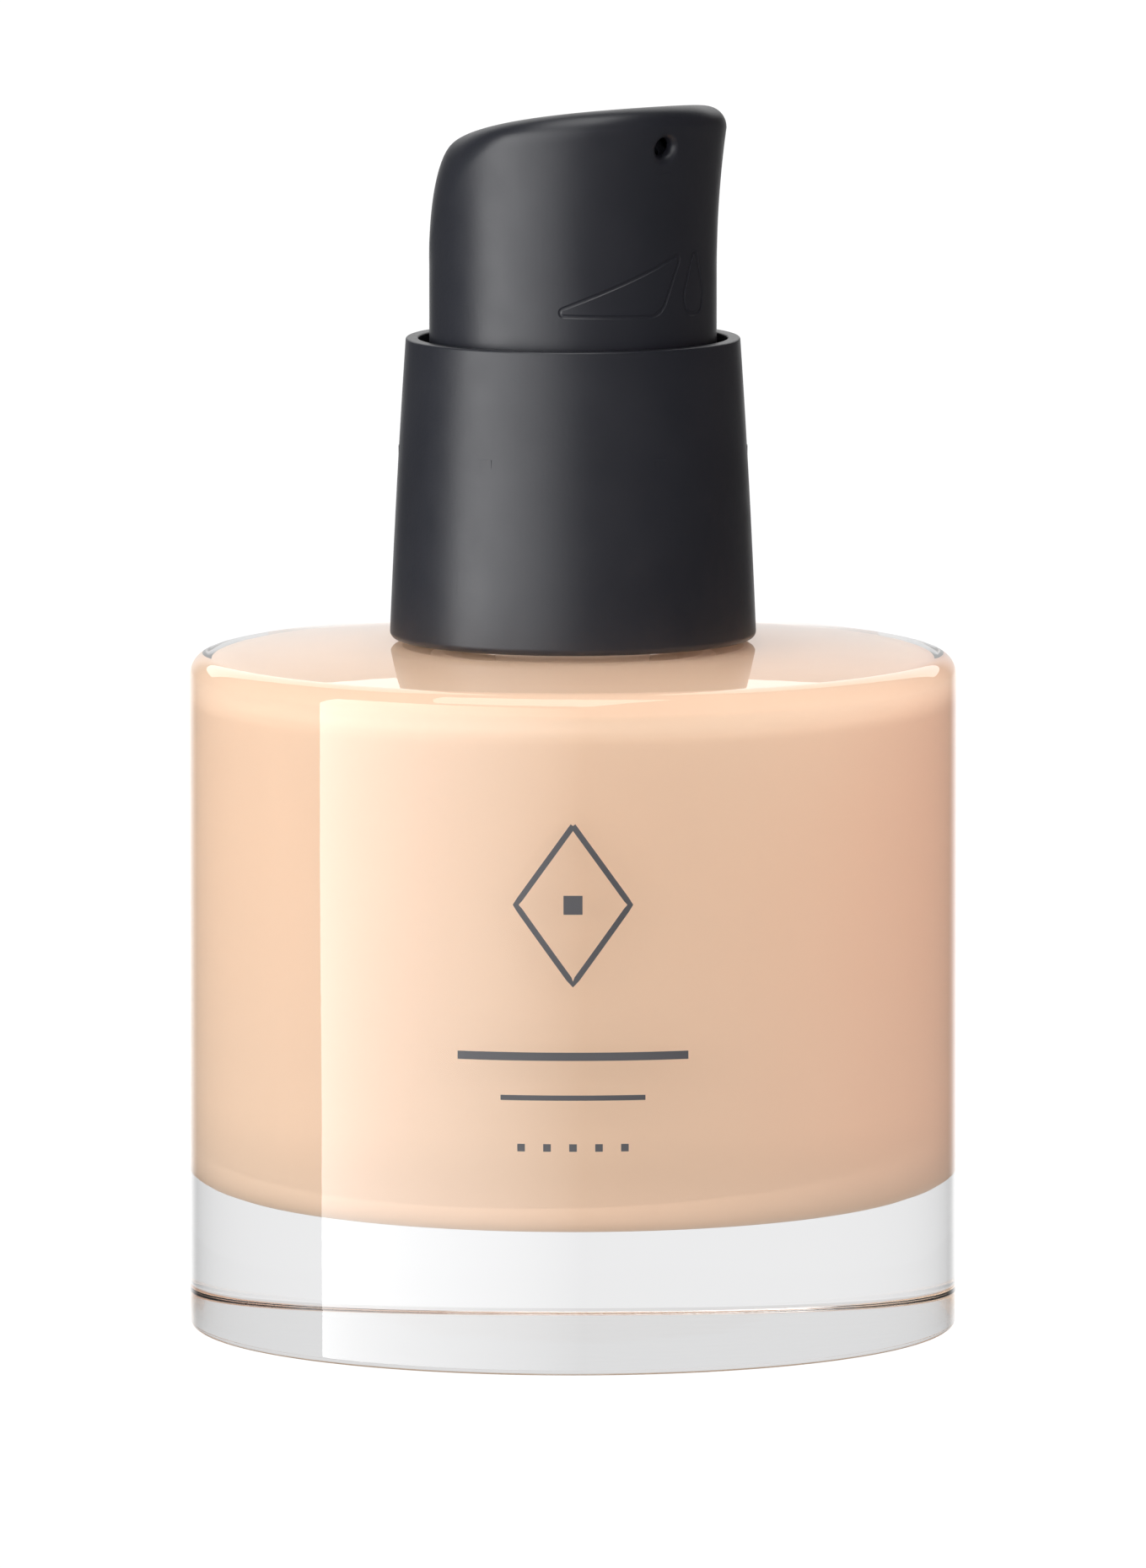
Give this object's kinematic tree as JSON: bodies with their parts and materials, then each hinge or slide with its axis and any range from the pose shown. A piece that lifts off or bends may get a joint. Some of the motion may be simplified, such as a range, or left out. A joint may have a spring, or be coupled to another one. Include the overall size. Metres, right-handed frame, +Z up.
{
  "type": "foundation bottle",
  "caption": "Round thick-based glass bottle of liquid foundation with a screw-on treatment pump, a tapered sleeve and a sloping push-down actuator.",
  "frame": {"origin": "centre of the face that the bottle stands on", "axes": "+Z up along the bottle's axis, -Y towards the front; at rest the nozzle points to the front, turned 36 degrees towards +X"},
  "size_m": [0.045, 0.045, 0.0722],
  "materials": {
    "clear_glass": "polished",
    "foundation": "satin",
    "satin_black": "satin",
    "natural_pp": "satin",
    "soft_pe": "matte",
    "spring_steel": "polished"
  },
  "bodies": {
    "bottle": {"glass_bottle": "clear_glass", "foundation_fill": "foundation"},
    "pump": {"pump_housing": "natural_pp", "housing_cap": "natural_pp", "neck_gasket": "soft_pe", "ball_cage": "natural_pp", "dip_tube": "soft_pe", "return_spring": "spring_steel"},
    "inlet_valve": {"check_ball": "spring_steel"},
    "closure": {"screw_closure": "satin_black", "outer_sleeve": "satin_black"},
    "plunger": {"stem": "natural_pp", "plunger_core": "natural_pp"},
    "piston": {"piston_seal": "soft_pe"},
    "actuator": {"actuator_shell": "satin_black", "actuator_core": "satin_black"}
  },
  "joints": [
    {"name": "pump_rise", "type": "slide", "parent": "bottle", "child": "pump", "axis": [0, 0, 1], "range_m": [0, 0.00424]},
    {"name": "closure_unscrew", "type": "hinge", "parent": "pump", "child": "closure", "pos_m": [0, 0, 0.0463], "axis": [0, 0, 1], "range_deg": [0, 720]},
    {"name": "actuator_press", "type": "slide", "parent": "pump", "child": "plunger", "axis": [0, 0, -1], "range_m": [0, 0.004], "stiffness_N_per_m": 800, "springref_m": -0.004, "deforming": ["return_spring"]},
    {"name": "actuator_turn", "type": "hinge", "parent": "plunger", "child": "actuator", "pos_m": [0, 0, 0.06], "axis": [0, 0, 1], "range_deg": [-90, 0]},
    {"name": "piston_slip", "type": "slide", "parent": "plunger", "child": "piston", "axis": [0, 0, 1], "range_m": [0, 0.0005]},
    {"name": "ball_lift", "type": "slide", "parent": "pump", "child": "inlet_valve", "axis": [0, 0, 1], "range_m": [0, 0.0008]}
  ],
  "couplings": [
    {"joint": "pump_rise", "follows": "closure_unscrew", "m_per_rad": 0.00033688}
  ]
}
